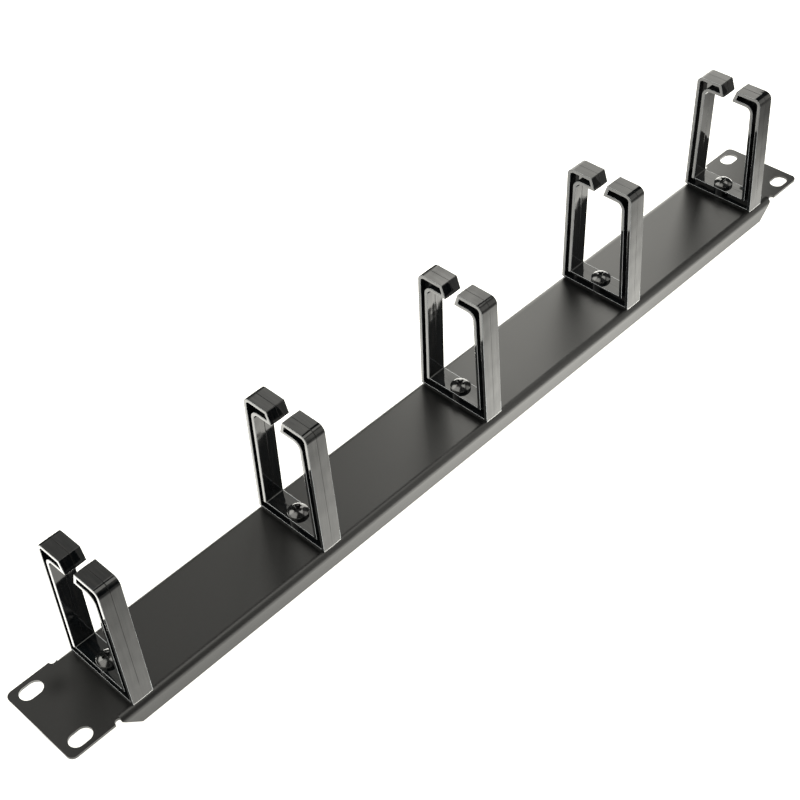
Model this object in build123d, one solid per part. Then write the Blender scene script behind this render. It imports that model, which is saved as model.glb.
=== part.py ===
from build123d import *
import math
import os

# Rack cable management panel, one rack unit high, lying on its folded edges.
# X runs across the rack, Y up the rack and Z out of the rack's front.
# The origin is the middle of the panel, level with the edges of the folds.

# Folded sheet
panel_width = 43.4
panel_depth = 10.2
sheet = 1.2
bend_inner_radius = 2.2
ear_length = 21.3
fold_start = 24.3
relief_radius = 1.7
relief_depth = 1.75
ear_corner_radius = 3.0
flange_cut = 8.2
flange_corner_radius = 0.6

# Slots in the ears, at the hole spacing of a 19 inch rack
slot_span_x = 465.1
slot_span_y = 31.75
slot_from_end = 8.75
slot_length = 10.4
slot_width = 7.2

# Row of rings on the panel
ring_count = 5
ring_pitch = 102.5
ring_row_y = 0.6

# Moulded ring, seen from its open face
ring_thickness = 10.0
ring_height = 66.4
ring_base_width = 41.2
ring_top_width = 37.6
ring_leg = 5.6
ring_arm = 6.6
ring_floor = 5.8
ring_outer_radius = 3.6
ring_inner_radius = 3.0
ring_floor_radius = 0.5
ring_tip_radius = 0.35
gap_top_width = 9.0
gap_tip_width = 4.7

# Hollows in both faces of the ring
ring_rim = 1.7
ring_base_rim = 0.9
ring_web = 2.4
ring_draft = 0.9
ring_edge_radius = 0.22
boss_wall = 1.5

# Fasteners
screw_diameter = 5.0
screw_past_nut = 1.8
screw_head_diameter = 9.5
screw_head_height = 3.4
screw_head_rim = 1.3
screw_head_edge_radius = 0.5
screw_tip_chamfer = 0.6
recess_span = 5.0
recess_slot = 1.1
recess_depth = 2.1
recess_core = 2.4
screw_hole_clearance = 0.5
thread_play = 0.1
washer_diameter = 9.2
washer_thickness = 1.2
washer_play = 0.3
washer_slit = 0.9
washer_slit_angle = 20.0
nut_across_flats = 8.0
nut_height = 4.0
nut_edge_angle = 30.0
nut_mouth = 0.4

# Two points nearer than this are the same corner
same_point = 0.001

# Heights and half sizes that follow from the sizes above
panel_length = slot_span_x + 2 * slot_from_end
bend_outer_radius = bend_inner_radius + sheet
flat_half_width = panel_width / 2 - bend_outer_radius
panel_face_z = panel_depth
panel_back_z = panel_depth - sheet
screw_hole_diameter = screw_diameter + screw_hole_clearance
boss_diameter = screw_hole_diameter + 2 * boss_wall
screw_length = ring_floor + sheet + washer_thickness + nut_height + screw_past_nut
screw_seat_z = panel_face_z + ring_floor
washer_top_z = panel_back_z
nut_top_z = washer_top_z - washer_thickness
half_thickness = ring_thickness / 2
draft_drop = half_thickness * math.tan(math.radians(ring_draft))


def ring_x(index):
    """Place of one ring along the panel."""
    return (index - (ring_count - 1) / 2) * ring_pitch


# Panel
def face_outline():
    """The flat face seen from the front: the part between the folds and the two wider ears."""
    outline = Rectangle(panel_length, 2 * flat_half_width)
    end_centre = (panel_length - fold_start) / 2
    for side in (-1, 1):
        outline += Pos(side * end_centre, 0) * Rectangle(fold_start, panel_width)
    outer = [v for v in outline.vertices() if abs(v.X) > end_centre]
    outline = fillet(outer, ear_corner_radius)
    relief_x = panel_length / 2 - ear_length - relief_radius
    relief_y = panel_width / 2 - relief_depth + relief_radius
    outline -= GridLocations(2 * relief_x, 2 * relief_y, 2, 2) * Circle(relief_radius)
    slots = GridLocations(slot_span_x, slot_span_y, 2, 2) * SlotOverall(slot_length, slot_width)
    return outline - slots


def fold(side):
    """One folded edge: the bend and its flange, with both ends cut off at 45 degrees."""
    edge_y = panel_width / 2
    bend_z = panel_face_z - bend_outer_radius
    line = Polyline((flat_half_width, panel_back_z), (flat_half_width, panel_face_z))
    line += CenterArc((flat_half_width, bend_z), bend_outer_radius, 0, 90)
    line += Polyline((edge_y, bend_z), (edge_y, 0), (edge_y - sheet, 0), (edge_y - sheet, bend_z))
    line += CenterArc((flat_half_width, bend_z), bend_inner_radius, 0, 90)
    section = make_face(line)
    fold_half = panel_length / 2 - fold_start
    bar = extrude(Plane.YZ * section, fold_half, both=True)
    side_view = Polygon((-fold_half, panel_face_z), (-fold_half, flange_cut),
                        (-fold_half + flange_cut, 0), (fold_half - flange_cut, 0),
                        (fold_half, flange_cut), (fold_half, panel_face_z), align=None)
    low = [v for v in side_view.vertices() if v.Y < flange_cut / 2]
    side_view = fillet(low, flange_corner_radius)
    bar &= extrude(Plane.XZ * side_view, -panel_width)
    return bar if side > 0 else mirror(bar, about=Plane.XZ)


def panel():
    """The folded sheet, with a clearance hole for the screw of each ring."""
    plate = extrude(Plane.XY.offset(panel_back_z) * face_outline(), sheet)
    body = plate + fold(1) + fold(-1)
    for index in range(ring_count):
        hole = Cylinder(screw_hole_diameter / 2, 2 * sheet)
        body -= Pos(ring_x(index), ring_row_y, panel_back_z + sheet / 2) * hole
    return body


# Ring
def ring_face(inset, floor_inset, bottom_inset):
    """Outline of the ring, drawn in by an inset, with its own inset at the floor and the bottom."""
    lean = (ring_base_width - ring_top_width) / 2 / ring_height
    gap_slope = (gap_top_width - gap_tip_width) / 2 / ring_arm
    gap_inset = inset * math.hypot(1, gap_slope)
    bottom = bottom_inset
    floor = ring_floor - floor_inset
    top = ring_height - inset
    under = ring_height - ring_arm + inset

    def outer(z):
        return ring_base_width / 2 - lean * z - inset

    def inner(z):
        return ring_base_width / 2 - ring_leg - lean * z + inset

    def gap(z):
        return gap_top_width / 2 - gap_slope * (ring_height - z) + gap_inset

    half = [(outer(bottom), bottom), (outer(top), top), (gap(top), top),
            (gap(under), under), (inner(under), under), (inner(floor), floor)]
    other_half = [(-y, z) for y, z in reversed(half)]
    outline = Polygon(*half, *other_half, align=None)

    rounded = [(outer(top), top, ring_outer_radius - inset),
               (inner(under), under, ring_inner_radius + inset),
               (inner(floor), floor, ring_floor_radius),
               (gap(top), top, ring_tip_radius),
               (gap(under), under, ring_tip_radius)]
    for y, z, radius in rounded:
        corners = [v for v in outline.vertices()
                   if math.hypot(abs(v.X) - y, v.Y - z) < same_point]
        outline = fillet(corners, radius)
    return outline


def ring_pocket():
    """Outline of the hollow in each face of the ring."""
    return ring_face(ring_rim, ring_base_rim, ring_base_rim)


def ring(index):
    """One ring, moulded in two halves that meet in a parting line round the middle of its thickness."""
    middle = ring_face(0, 0, 0)
    end = ring_face(draft_drop, draft_drop, 0)
    body = Part()
    for side in (-1, 1):
        body += loft([Plane.YZ * middle, Plane.YZ.offset(side * half_thickness) * end], ruled=True)
    pocket_depth = half_thickness - ring_web / 2
    for side in (-1, 1):
        web_face = Plane.YZ.offset(side * ring_web / 2)
        body -= extrude(web_face * ring_pocket(), side * pocket_depth)
    base_middle = Pos(0, 0, ring_floor / 2)
    body += base_middle * Cylinder(boss_diameter / 2, ring_floor - draft_drop)
    body -= base_middle * Cylinder(screw_hole_diameter / 2, 2 * ring_floor)
    edges = [e for e in body.edges() if abs(abs(e.center().X) - half_thickness) < ring_edge_radius / 2]
    body = fillet(edges, ring_edge_radius)
    return Pos(ring_x(index), ring_row_y, panel_face_z) * body


# Fasteners
def head_recess():
    """The cross recess in the top of a screw head: four tapering wings round a conical core."""
    top = screw_head_height
    bottom = screw_head_height - recess_depth
    core_radius = recess_core / 2
    wing = Polygon((-recess_span / 2, top), (-core_radius / 2, bottom),
                   (core_radius / 2, bottom), (recess_span / 2, top), align=None)
    wings = extrude(Plane.XZ * wing, recess_slot / 2, both=True)
    wings += Rot(0, 0, 90) * wings
    core_middle = (top + bottom) / 2
    return wings + Pos(0, 0, core_middle) * Cone(core_radius / 2, core_radius, recess_depth)


def screw(index):
    """A pan head screw down through the ring, the panel, the washer and the nut."""
    head_radius = screw_head_diameter / 2
    rise = screw_head_height - screw_head_rim
    dome_radius = (head_radius ** 2 + rise ** 2) / (2 * rise)
    dome_middle_x = head_radius / 2
    dome_middle_z = screw_head_height - dome_radius + math.sqrt(dome_radius ** 2 - dome_middle_x ** 2)
    outline = Polyline((0, screw_head_height), (0, 0), (head_radius, 0), (head_radius, screw_head_rim))
    outline += ThreePointArc((head_radius, screw_head_rim), (dome_middle_x, dome_middle_z),
                             (0, screw_head_height))
    head_section = make_face(outline)
    edge = [v for v in head_section.vertices()
            if v.X > dome_middle_x and v.Y > screw_head_rim / 2]
    head = revolve(Plane.XZ * fillet(edge, screw_head_edge_radius), Axis.Z)
    shank = Pos(0, 0, -screw_length / 2) * Cylinder(screw_diameter / 2, screw_length)
    tip = shank.edges().sort_by(Axis.Z)[0]
    shank = chamfer(tip, screw_tip_chamfer)
    return Pos(ring_x(index), ring_row_y, screw_seat_z) * (head + shank - head_recess())


def lock_washer(index):
    """A split spring washer, pressed flat between the nut and the back of the panel."""
    bore = screw_diameter + washer_play
    body = Cylinder(washer_diameter / 2, washer_thickness) - Cylinder(bore / 2, washer_thickness)
    slit = Box(washer_diameter, washer_slit, 2 * washer_thickness)
    body -= Pos(washer_diameter / 2, 0, 0) * Rot(washer_slit_angle, 0, 0) * slit
    return Pos(ring_x(index), ring_row_y, washer_top_z - washer_thickness / 2) * body


def nut(index):
    """A hex nut with both ends turned down at its corners and the mouths of its bore opened out."""
    corner_radius = nut_across_flats / math.sqrt(3)
    flat_radius = nut_across_flats / 2
    turn_down = (corner_radius - flat_radius) * math.tan(math.radians(nut_edge_angle))
    bore = (screw_diameter + thread_play) / 2
    hexagon = RegularPolygon(corner_radius, 6)
    body = extrude(hexagon, nut_height)
    turned = Polygon((bore + nut_mouth, 0), (flat_radius, 0), (corner_radius, turn_down),
                     (corner_radius, nut_height - turn_down), (flat_radius, nut_height),
                     (bore + nut_mouth, nut_height), (bore, nut_height - nut_mouth),
                     (bore, nut_mouth), align=None)
    body &= revolve(Plane.XZ * turned, Axis.Z)
    return Pos(ring_x(index), ring_row_y, nut_top_z - nut_height) * body


def write_parts():
    """Write each piece to a file of its own, named after the piece."""
    pieces = {"panel": panel()}
    for index in range(ring_count):
        number = index + 1
        pieces[f"ring_{number}"] = ring(index)
        pieces[f"screw_{number}"] = screw(index)
        pieces[f"lock_washer_{number}"] = lock_washer(index)
        pieces[f"nut_{number}"] = nut(index)
    os.makedirs("parts", exist_ok=True)
    for name, piece in pieces.items():
        export_step(piece, f"parts/{name}.step")


write_parts()
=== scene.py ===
import math

import bmesh
import bpy
from mathutils import Matrix, Vector


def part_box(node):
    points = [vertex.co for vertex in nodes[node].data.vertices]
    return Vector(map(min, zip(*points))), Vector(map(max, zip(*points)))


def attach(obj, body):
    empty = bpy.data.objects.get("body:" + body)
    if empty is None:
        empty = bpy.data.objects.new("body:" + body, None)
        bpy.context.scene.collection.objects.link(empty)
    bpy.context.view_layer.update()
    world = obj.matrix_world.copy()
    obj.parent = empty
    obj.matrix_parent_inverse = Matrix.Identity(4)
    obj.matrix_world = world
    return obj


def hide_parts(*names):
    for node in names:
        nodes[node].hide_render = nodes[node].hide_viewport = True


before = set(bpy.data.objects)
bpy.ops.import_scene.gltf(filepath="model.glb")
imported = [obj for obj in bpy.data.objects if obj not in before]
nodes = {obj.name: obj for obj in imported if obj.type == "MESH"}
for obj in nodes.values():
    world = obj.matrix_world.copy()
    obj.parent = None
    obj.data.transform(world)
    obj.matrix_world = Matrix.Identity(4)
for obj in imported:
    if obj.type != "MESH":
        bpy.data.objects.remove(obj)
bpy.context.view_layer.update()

# Every length is in metres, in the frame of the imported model, whose floor is at zero height.
mm = 0.001
ring_names = sorted(name for name in nodes if name.startswith("ring_"))
screw_names = sorted(name for name in nodes if name.startswith("screw_"))
washer_names = sorted(name for name in nodes if name.startswith("lock_washer_"))
nut_names = sorted(name for name in nodes if name.startswith("nut_"))


def middle(node):
    """The middle of a node's box."""
    low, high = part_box(node)
    return (low + high) / 2


first_ring_x = middle(ring_names[0]).x
ring_pitch = middle(ring_names[1]).x - first_ring_x
ring_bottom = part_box(ring_names[0])[0].z

# Camera, at the photograph's viewing angle
camera_place = Vector((-361.4, -346.0, 490.3)) * mm
camera_aim = Vector((-20.3, 20.2, 10.2)) * mm
camera_roll = math.radians(-4.33)
camera_lens = 67.53
camera_sensor = 36.0
camera_near = 10 * mm
camera_far = 100.0


def make_camera():
    """The one camera, rolled a little about its own axis."""
    data = bpy.data.cameras.new("camera")
    data.lens = camera_lens
    data.sensor_width = camera_sensor
    data.clip_start = camera_near
    data.clip_end = camera_far
    camera = bpy.data.objects.new("camera", data)
    bpy.context.scene.collection.objects.link(camera)
    look = (camera_aim - camera_place).to_track_quat("-Z", "Y")
    camera.matrix_world = (Matrix.Translation(camera_place) @ look.to_matrix().to_4x4()
                           @ Matrix.Rotation(camera_roll, 4, "Z"))
    bpy.context.scene.camera = camera


# Materials. Noise stays near a half, so only this part of it is stretched over a range.
noise_low = 0.3
noise_high = 0.7


class Nodes:
    """A small helper that adds shader nodes to one tree and links them."""

    def __init__(self, tree):
        self.tree = tree
        self.tree.nodes.clear()

    def feed(self, socket, value):
        """Links another node's output to a socket, or sets the socket to a constant."""
        if isinstance(value, bpy.types.NodeSocket):
            self.tree.links.new(value, socket)
        else:
            socket.default_value = value

    def feed_all(self, node, inputs):
        """Feeds several of a node's sockets, given by their names or places."""
        for key, value in inputs.items():
            self.feed(node.inputs[key], value)

    def add(self, kind, inputs=None, **settings):
        """A new node with its settings and inputs."""
        node = self.tree.nodes.new(kind)
        for key, value in settings.items():
            setattr(node, key, value)
        self.feed_all(node, inputs or {})
        return node

    def math(self, operation, *values):
        """The result of one sum on numbers."""
        node = self.add("ShaderNodeMath", dict(enumerate(values)), operation=operation)
        return node.outputs["Value"]

    def noise(self, place, size, detail=2.0):
        """Noise from 0 to 1 whose lumps are about the given size."""
        node = self.add("ShaderNodeTexNoise", {"Vector": place, "Scale": 1 / size, "Detail": detail})
        return node.outputs["Fac"]

    def spread(self, value, low, high):
        """Stretches noise over a range."""
        node = self.add("ShaderNodeMapRange", {"Value": value, "From Min": noise_low,
                                               "From Max": noise_high, "To Min": low, "To Max": high})
        return node.outputs["Result"]

    def ramp(self, value, start, end, low=0.0, high=1.0):
        """Rises smoothly from low to high as the value goes from start to end."""
        node = self.add("ShaderNodeMapRange", {"Value": value, "From Min": start, "From Max": end,
                                               "To Min": low, "To Max": high},
                        interpolation_type="SMOOTHSTEP")
        return node.outputs["Result"]

    def bell(self, value, centre, width):
        """A bell curve of the given width round a centre."""
        off = self.math("DIVIDE", self.math("SUBTRACT", value, centre), width)
        return self.math("EXPONENT", self.math("MULTIPLY", self.math("MULTIPLY", off, off), -1.0))

    def stretched(self, place, scale):
        """A place whose axes are scaled, so that noise on it is drawn out."""
        return self.add("ShaderNodeMapping", {"Vector": place, "Scale": scale}).outputs["Vector"]

    def axes(self, place):
        """The three coordinates of a place."""
        return self.add("ShaderNodeSeparateXYZ", {"Vector": place}).outputs

    def mix_colours(self, factor, first, second):
        """The first colour at factor 0 and the second at factor 1."""
        node = self.add("ShaderNodeMix", data_type="RGBA")
        self.feed_all(node, {"Factor": factor, 6: first, 7: second})
        return node.outputs[2]

    def bump(self, height, distance, strength=1.0, under=None):
        """A normal tilted by a height, on top of another bump where one is given."""
        inputs = {"Height": height, "Distance": distance, "Strength": strength}
        if under is not None:
            inputs["Normal"] = under
        return self.add("ShaderNodeBump", inputs).outputs["Normal"]

    def seen_or_mirrored(self, seen_glow, mirrored_glow):
        """One brightness for the camera's own rays and another for all other rays."""
        seen = self.add("ShaderNodeLightPath").outputs["Is Camera Ray"]
        node = self.add("ShaderNodeMix", {"Factor": seen}, data_type="FLOAT")
        self.feed_all(node, {"A": mirrored_glow, "B": seen_glow})
        return node.outputs["Result"]


def new_material(name):
    """A material with a Principled shader: its helper, the shader and the object coordinates."""
    material = bpy.data.materials.new(name)
    material.use_nodes = True
    kit = Nodes(material.node_tree)
    shader = kit.add("ShaderNodeBsdfPrincipled")
    kit.add("ShaderNodeOutputMaterial", {"Surface": shader.outputs["BSDF"]})
    place = kit.add("ShaderNodeTexCoord").outputs["Object"]
    return material, kit, shader, place


def grey(value, warmth=0.0):
    """A grey, a little warmer or cooler."""
    return (value * (1 + warmth), value, value * (1 - warmth), 1.0)


# Black powder coat: the sizes of its grain, orange peel and cloudy patches, and how much each one does
coat_grain_size = 0.5 * mm
coat_peel_size = 1.6 * mm
coat_cloud_size = 45 * mm
coat_darkest = grey(0.001)
coat_lightest = grey(0.003)
coat_rough_low = 0.32
coat_rough_high = 0.36
coat_grain_rough = 0.015
coat_peel_height = 0.01 * mm
coat_grain_height = 0.002 * mm
coat_bump_strength = 0.5
coat_specular = 0.5
coat_ior = 1.55

# A dull smudge on the near ear
smudge_place = Vector((-224, 10, 10.2)) * mm
smudge_radius = 5 * mm
smudge_dullness = 0.2

# Black moulded plastic: its streaks and waves, drawn out along the mould, its haze and its sink marks
streak_stretch = (1, 0.08, 0.06)
streak_size = 0.8 * mm
wave_stretch = (1, 0.3, 0.12)
wave_size = 4 * mm
wave_height = 0.07 * mm
lens_size = 9 * mm
lens_height = 0.2 * mm
haze_size = 3 * mm
plastic_fine_size = 0.25 * mm
plastic_fine_height = 0.002 * mm
plastic_fine_strength = 0.5
plastic_coolness = -0.2
plastic_darkest = grey(0.003, plastic_coolness)
plastic_lightest = grey(0.006, plastic_coolness)
plastic_rough_low = 0.04
plastic_rough_high = 0.07
plastic_fine_rough = 0.01
plastic_specular_low = 0.46
plastic_specular_high = 0.54
plastic_ior = 1.5
sink_reach = 2.2 * mm
sink_height = 0.02 * mm

# Marks on the moulded rings, measured from the middle of a ring's thickness, or up from its foot
seam_core = 0.04 * mm
seam_edge = 0.18 * mm
seam_height = -0.02 * mm
seam_dullness = 0.85
seam_roughness = 0.3
seam_white = grey(0.006)
seam_on_floor = 0.3
floor_height = 6 * mm
# Painted highlight: a pale band where the ring's faces round over at their edges, reaching a little farther
# on the far side of the ring's floor
edge_highlight_from = 4.78 * mm
edge_highlight_to = 4.99 * mm
edge_highlight_fade = 0.05 * mm
edge_highlight_white = grey(0.3, -0.05)
far_floor_highlight_reach = 0.2 * mm
# Painted highlight: a pale line along the bottom of the ring
foot_low = 0.35 * mm
foot_high = 0.45 * mm
foot_highlight_white = grey(0.6)
streak_white = grey(0.01)
streak_from = -1.0
streak_to = 1.0

# Black oxide on the screws
screw_brushed_size = 0.4 * mm
screw_blotch_size = 2 * mm
screw_darkest = grey(0.006, -0.05)
screw_lightest = grey(0.014, -0.05)
screw_rough_low = 0.1
screw_rough_high = 0.2
screw_bump_height = 0.01 * mm
screw_bump_strength = 0.6
screw_ior = 1.8

# Black zinc on the nuts and washers
nut_brushed_size = 0.3 * mm
nut_blotch_size = 1.5 * mm
nut_darkest = grey(0.05, 0.02)
nut_lightest = grey(0.09, 0.04)
nut_rough_low = 0.28
nut_rough_high = 0.42
nut_bump_height = 0.01 * mm
nut_bump_strength = 0.6


def powder_coat():
    """Satin black powder coat with a fine orange peel and a dull smudge."""
    material, kit, shader, place = new_material("black_powder_coat")
    grain = kit.noise(place, coat_grain_size, detail=3.0)
    peel = kit.noise(place, coat_peel_size, detail=1.0)
    cloud = kit.noise(place, coat_cloud_size)
    from_smudge = kit.add("ShaderNodeVectorMath", {0: place, 1: smudge_place}, operation="DISTANCE")
    smudge = kit.bell(from_smudge.outputs["Value"], 0.0, smudge_radius)
    lumps = kit.bump(peel, coat_peel_height, coat_bump_strength)
    kit.feed_all(shader, {
        "Base Color": kit.mix_colours(kit.spread(grain, 0, 1), coat_darkest, coat_lightest),
        "Specular IOR Level": kit.math("MULTIPLY_ADD", smudge, -smudge_dullness, coat_specular),
        "Roughness": kit.math("ADD", kit.spread(cloud, coat_rough_low, coat_rough_high),
                              kit.spread(grain, -coat_grain_rough, coat_grain_rough)),
        "Normal": kit.bump(grain, coat_grain_height, coat_bump_strength, lumps),
        "IOR": coat_ior,
    })
    return material


def ring_plastic():
    """Glossy black moulded plastic, drawn along the mould, with a parting line and painted highlights on its
    edges and along its foot.
    """
    material, kit, shader, place = new_material("black_moulded_plastic")
    spot = kit.axes(place)
    height = spot["Z"]

    # How far a point is along the row from the middle of the nearest ring
    turns = kit.math("DIVIDE", kit.math("SUBTRACT", spot["X"], first_ring_x), ring_pitch)
    off_centre = kit.math("MULTIPLY", kit.math("SUBTRACT", turns, kit.math("ROUND", turns)), ring_pitch)
    aside = kit.math("ABSOLUTE", off_centre)

    # Parting line, and painted highlights: a pale band on the rounded edges of the ring's faces and a pale
    # line along the ring's foot
    floor_top = ring_bottom + floor_height
    above_floor = kit.ramp(height, floor_top, floor_top + floor_height, seam_on_floor, 1.0)
    seam = kit.math("MULTIPLY", kit.ramp(aside, seam_core, seam_edge, 1.0, 0.0), above_floor)
    on_far_floor = kit.math("MULTIPLY", kit.math("GREATER_THAN", off_centre, 0.0),
                            kit.math("LESS_THAN", height, floor_top))
    reach = kit.math("MULTIPLY_ADD", on_far_floor, far_floor_highlight_reach, aside)
    # Painted highlight on the rounded edges of the ring's faces
    edge_highlight_mask = kit.math("MULTIPLY", kit.ramp(reach, edge_highlight_from, edge_highlight_from + edge_highlight_fade),
                      kit.ramp(aside, edge_highlight_to - edge_highlight_fade, edge_highlight_to, 1.0, 0.0))
    # Painted highlight: a pale line along the ring's foot, inside the edge highlight
    low_down = kit.ramp(height, ring_bottom + foot_low, ring_bottom + foot_high, 1.0, 0.0)
    foot = kit.math("MULTIPLY", low_down, kit.math("LESS_THAN", aside, edge_highlight_from))

    streaks = kit.noise(kit.stretched(place, streak_stretch), streak_size)
    waves = kit.noise(kit.stretched(place, wave_stretch), wave_size, detail=1.0)
    lens = kit.noise(place, lens_size, detail=0.0)
    haze = kit.noise(place, haze_size, detail=3.0)
    fine = kit.noise(place, plastic_fine_size)

    colour = kit.mix_colours(kit.spread(haze, 0, 1), plastic_darkest, plastic_lightest)
    colour = kit.mix_colours(kit.spread(streaks, streak_from, streak_to), colour, streak_white)
    colour = kit.mix_colours(seam, colour, seam_white)
    # Painted highlight on the edges
    colour = kit.mix_colours(edge_highlight_mask, colour, edge_highlight_white)
    # Painted highlight along the foot
    colour = kit.mix_colours(foot, colour, foot_highlight_white)

    off_seam = kit.math("SUBTRACT", 1.0, kit.math("MULTIPLY", seam, seam_dullness))
    shine = kit.spread(streaks, plastic_specular_low, plastic_specular_high)
    rough = kit.math("ADD", kit.spread(haze, plastic_rough_low, plastic_rough_high),
                     kit.spread(fine, -plastic_fine_rough, plastic_fine_rough))
    rough = kit.math("ADD", rough, kit.math("MULTIPLY", seam, seam_roughness))

    relief = kit.bump(lens, lens_height)
    relief = kit.bump(waves, wave_height, under=relief)
    relief = kit.bump(kit.ramp(aside, 0.0, sink_reach), sink_height, under=relief)
    relief = kit.bump(seam, seam_height, under=relief)
    kit.feed_all(shader, {
        "Base Color": colour,
        "Specular IOR Level": kit.math("MULTIPLY", shine, off_seam),
        "Roughness": rough,
        "Normal": kit.bump(fine, plastic_fine_height, plastic_fine_strength, relief),
        "IOR": plastic_ior,
    })
    return material


def screw_black():
    """Black oxide steel, smooth and a little oily."""
    material, kit, shader, place = new_material("black_screw_steel")
    brushed = kit.noise(place, screw_brushed_size, detail=3.0)
    blotch = kit.noise(place, screw_blotch_size)
    kit.feed_all(shader, {
        "Base Color": kit.mix_colours(kit.spread(blotch, 0, 1), screw_darkest, screw_lightest),
        "Roughness": kit.spread(brushed, screw_rough_low, screw_rough_high),
        "Normal": kit.bump(blotch, screw_bump_height, screw_bump_strength),
        "IOR": screw_ior,
    })
    return material


def nut_black():
    """Black zinc on the nuts and washers, duller than the screws."""
    material, kit, shader, place = new_material("black_zinc_steel")
    brushed = kit.noise(place, nut_brushed_size, detail=3.0)
    blotch = kit.noise(place, nut_blotch_size)
    kit.feed_all(shader, {
        "Base Color": kit.mix_colours(kit.spread(blotch, 0, 1), nut_darkest, nut_lightest),
        "Roughness": kit.spread(brushed, nut_rough_low, nut_rough_high),
        "Normal": kit.bump(brushed, nut_bump_height, nut_bump_strength),
        "Metallic": 1.0,
    })
    return material


def paint(names, material):
    """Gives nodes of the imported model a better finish."""
    for name in names:
        for material_slot in nodes[name].material_slots:
            material_slot.material = material


# Screws with cut threads: the groove is full near its root and rises along both flanks to a flat crest.
thread_pitch = 0.8 * mm
thread_depth = 0.49 * mm
thread_root_rise = 1.1
thread_flank_slope = 1.3
thread_rows_per_turn = 8
thread_sides = 40
tip_run = 0.6 * mm
head_rim = 0.9
seat_touch = 0.01 * mm


def thread_depth_at(turn):
    """Depth of the groove at a part of a turn: a flat crest, two flanks and a narrow root."""
    from_root = abs(2 * (turn % 1) - 1)
    return thread_depth * min(1, max(0, thread_root_rise - thread_flank_slope * from_root))


def threaded_shank(mesh, axis, radius, bottom, top):
    """Adds a closed rod with a helical thread to a mesh that is being edited."""
    rows = round((top - bottom) / thread_pitch * thread_rows_per_turn)
    loops = []
    for row in range(rows + 1):
        height = bottom + (top - bottom) * row / rows
        widest = radius - max(0, tip_run - (height - bottom))
        loop = []
        for side in range(thread_sides):
            part = side / thread_sides
            reach = min(widest, radius - thread_depth_at(height / thread_pitch - part))
            angle = 2 * math.pi * part
            loop.append(mesh.verts.new((axis.x + reach * math.cos(angle),
                                        axis.y + reach * math.sin(angle), height)))
        loops.append(loop)
    for below, above in zip(loops, loops[1:]):
        for side in range(thread_sides):
            after = (side + 1) % thread_sides
            mesh.faces.new((below[side], below[after], above[after], above[side])).smooth = True
    mesh.faces.new(reversed(loops[0]))
    mesh.faces.new(loops[-1])


def make_screw(name):
    """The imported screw's own head on a shank with a thread."""
    node = nodes[name]
    axis = middle(name)
    vertices = [vertex.co for vertex in node.data.vertices]
    low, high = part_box(name)
    head_radius = (high.x - low.x) / 2

    def out(point):
        return math.hypot(point.x - axis.x, point.y - axis.y)

    seat = min(point.z for point in vertices if out(point) > head_rim * head_radius)
    radius = max(out(point) for point in vertices if point.z < seat - tip_run)
    mesh = bmesh.new()
    mesh.from_mesh(node.data)
    shank = [vertex for vertex in mesh.verts if vertex.co.z < seat - seat_touch]
    bmesh.ops.delete(mesh, geom=shank, context="VERTS")
    threaded_shank(mesh, axis, radius, low.z, seat)
    data = bpy.data.meshes.new(name + "_threaded")
    mesh.to_mesh(data)
    mesh.free()
    piece = bpy.data.objects.new(name + "_threaded", data)
    bpy.context.scene.collection.objects.link(piece)
    data.materials.clear()
    data.materials.append(bpy.data.materials["black_screw_steel"])
    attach(piece, "root")
    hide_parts(name)


# Stage: the table top and the backdrop, which the camera sees as plain white
warm_white = (1.0, 0.985, 0.92, 1.0)
seen_white = 1.2
floor_half = 6.0
floor_drop = 0.2 * mm
floor_cloud_size = 0.8
floor_darkest = grey(0.38)
floor_lightest = grey(0.4)
floor_roughness = 0.6

# Glow of the table top as the object mirrors it: a bright strip behind the panel and a softer pool before it
behind_glow = 4.5
behind_from = 0 * mm
behind_to = 130 * mm
before_glow = 2.35
before_to = -130 * mm
before_depth = 95 * mm
pool_glow = 2.2
pool_middle = 45 * mm
pool_width = 150 * mm
pool_end_from = 215 * mm
pool_end_to = 320 * mm
foot_shade = 0.75
foot_shade_from = -22 * mm
foot_shade_to = -30 * mm
glow_fade = 40 * mm
middle_fade = 10 * mm

# The main softbox, which stands upright on the table behind the far end: its two feet, height and power
main_left = Vector((308, 362, 0)) * mm
main_right = Vector((487, 152, 0)) * mm
main_height = 650 * mm
main_glow = 3.2

# Fainter light from farther off: the bearings and heights between which each part stands, in degrees,
# over how many degrees its edge fades, and its brightness. Bearings count from a dark side of the room.
bearing_start = -110
wall_light = ((45, 58), (22, 66), 6, 1.8)
room_light = ((58, 100), (22, 66), 10, 0.75)
side_light = ((-66, -24), (0, 47), 14, 1.4)
top_light = ((-74, 8), (55, 84), 12, 3.0)
back_light = ((100, 135), (22, 58), 10, 3.8)
corner_light = ((134, 205), (28, 76), 14, 2.4)
air_glow = 0.02


def table_glow(kit, place):
    """How brightly the table top shines on the object, by place."""
    spot = kit.axes(place)
    along = spot["X"]
    across = spot["Y"]
    past_middle = behind_from + middle_fade
    behind = kit.math("MULTIPLY", kit.ramp(across, behind_from, past_middle),
                      kit.ramp(across, behind_to, behind_to + glow_fade, 1.0, 0.0))
    before = kit.math("MULTIPLY", kit.ramp(across, before_to - glow_fade, before_to),
                      kit.ramp(across, behind_from, past_middle, 1.0, 0.0))
    pool = kit.math("MULTIPLY", kit.bell(along, pool_middle, pool_width), pool_glow)
    pool = kit.math("ADD", pool, before_glow)
    pool = kit.math("MULTIPLY", pool, kit.ramp(along, pool_end_from, pool_end_to, 1.0, 0.0))
    pool = kit.math("MULTIPLY", pool, kit.bell(across, 0.0, before_depth))
    pool = kit.math("MULTIPLY", pool, kit.ramp(across, foot_shade_to, foot_shade_from, 1.0, foot_shade))
    return kit.math("ADD", kit.math("MULTIPLY", behind, behind_glow), kit.math("MULTIPLY", before, pool))


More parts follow.
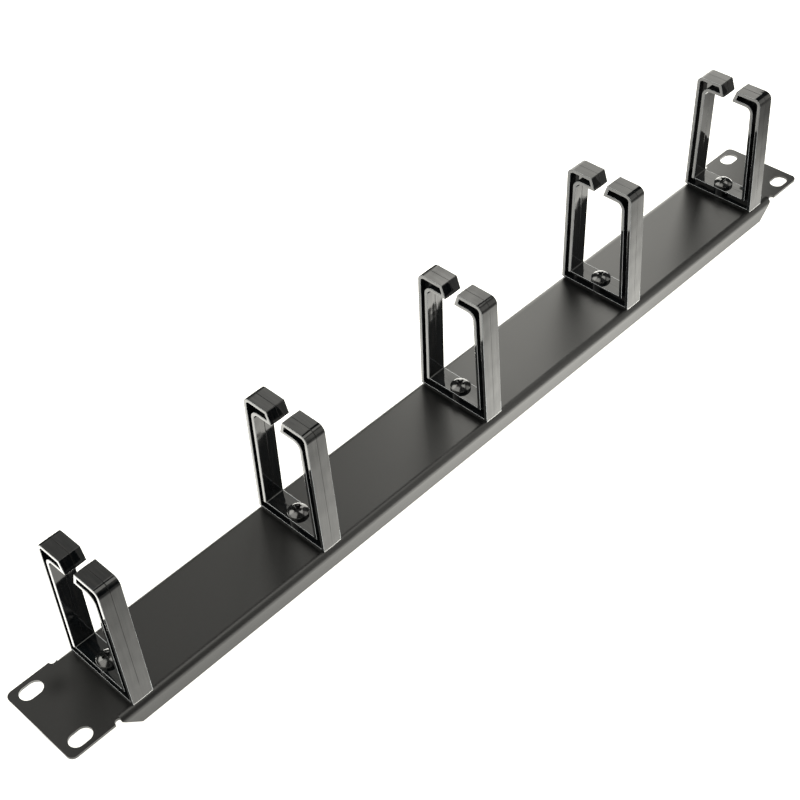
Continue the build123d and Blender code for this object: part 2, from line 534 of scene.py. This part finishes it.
def make_floor():
    """A plain white table top under the whole scene."""
    mesh = bpy.data.meshes.new("floor")
    corners = [(-floor_half, -floor_half), (floor_half, -floor_half),
               (floor_half, floor_half), (-floor_half, floor_half)]
    mesh.from_pydata([(x, y, -floor_drop) for x, y in corners], [], [(0, 1, 2, 3)])
    floor = bpy.data.objects.new("floor", mesh)
    bpy.context.scene.collection.objects.link(floor)
    material, kit, shader, place = new_material("white_table")
    cloud = kit.noise(place, floor_cloud_size)
    kit.feed_all(shader, {
        "Base Color": kit.mix_colours(cloud, floor_darkest, floor_lightest),
        "Roughness": floor_roughness,
        "Emission Color": warm_white,
        "Emission Strength": kit.seen_or_mirrored(seen_white, table_glow(kit, place)),
    })
    mesh.materials.append(material)


def make_main_light():
    """The main softbox, an upright rectangle that faces the object."""
    foot = (main_left + main_right) / 2
    across = main_right - main_left
    up = Vector((0, 0, 1))
    back = across.cross(up).normalized()
    if back.dot(foot) < 0:
        back.negate()
    data = bpy.data.lights.new("main_light", "AREA")
    data.shape = "RECTANGLE"
    data.size = across.length
    data.size_y = main_height
    data.energy = main_glow * math.pi * across.length * main_height
    data.color = warm_white[:3]
    lamp = bpy.data.objects.new("main_light", data)
    side = up.cross(back)
    turn = Matrix((side, up, back)).transposed().to_4x4()
    lamp.matrix_world = Matrix.Translation(foot + up * main_height / 2) @ turn
    bpy.context.scene.collection.objects.link(lamp)


def softbox(kit, bearing, height, bearings, heights, fade, brightness):
    """The brightness of one softbox as seen in a direction, given as a bearing and a height."""
    part = brightness
    for angle, (low, high) in ((bearing, bearings), (height, heights)):
        for edge, rise in ((low, (0.0, 1.0)), (high, (1.0, 0.0))):
            start = math.radians(edge - fade / 2)
            end = math.radians(edge + fade / 2)
            part = kit.math("MULTIPLY", kit.ramp(angle, start, end, *rise), part)
    return part


def make_world():
    """The soft studio light round the object."""
    world = bpy.data.worlds.new("studio")
    world.use_nodes = True
    kit = Nodes(world.node_tree)
    look = kit.axes(kit.add("ShaderNodeTexCoord").outputs["Generated"])
    dark_side = math.radians(bearing_start)
    bearing = kit.math("ARCTAN2", look["Y"], look["X"])
    bearing = kit.math("FLOORED_MODULO", kit.math("SUBTRACT", bearing, dark_side), 2 * math.pi)
    bearing = kit.math("ADD", bearing, dark_side)
    height = kit.math("ARCSINE", look["Z"])
    total = air_glow
    for light in (wall_light, room_light, side_light, top_light, back_light, corner_light):
        total = kit.math("ADD", softbox(kit, bearing, height, *light), total)
    background = kit.add("ShaderNodeBackground", {
        "Color": warm_white, "Strength": kit.seen_or_mirrored(seen_white, total)})
    kit.add("ShaderNodeOutputWorld", {"Surface": background.outputs["Background"]})
    bpy.context.scene.world = world
    bpy.context.scene.view_settings.view_transform = "Standard"


make_camera()
make_floor()
make_main_light()
make_world()
paint(["panel"], powder_coat())
paint(ring_names, ring_plastic())
paint(screw_names, screw_black())
for screw_name in screw_names:
    make_screw(screw_name)
paint(washer_names + nut_names, nut_black())
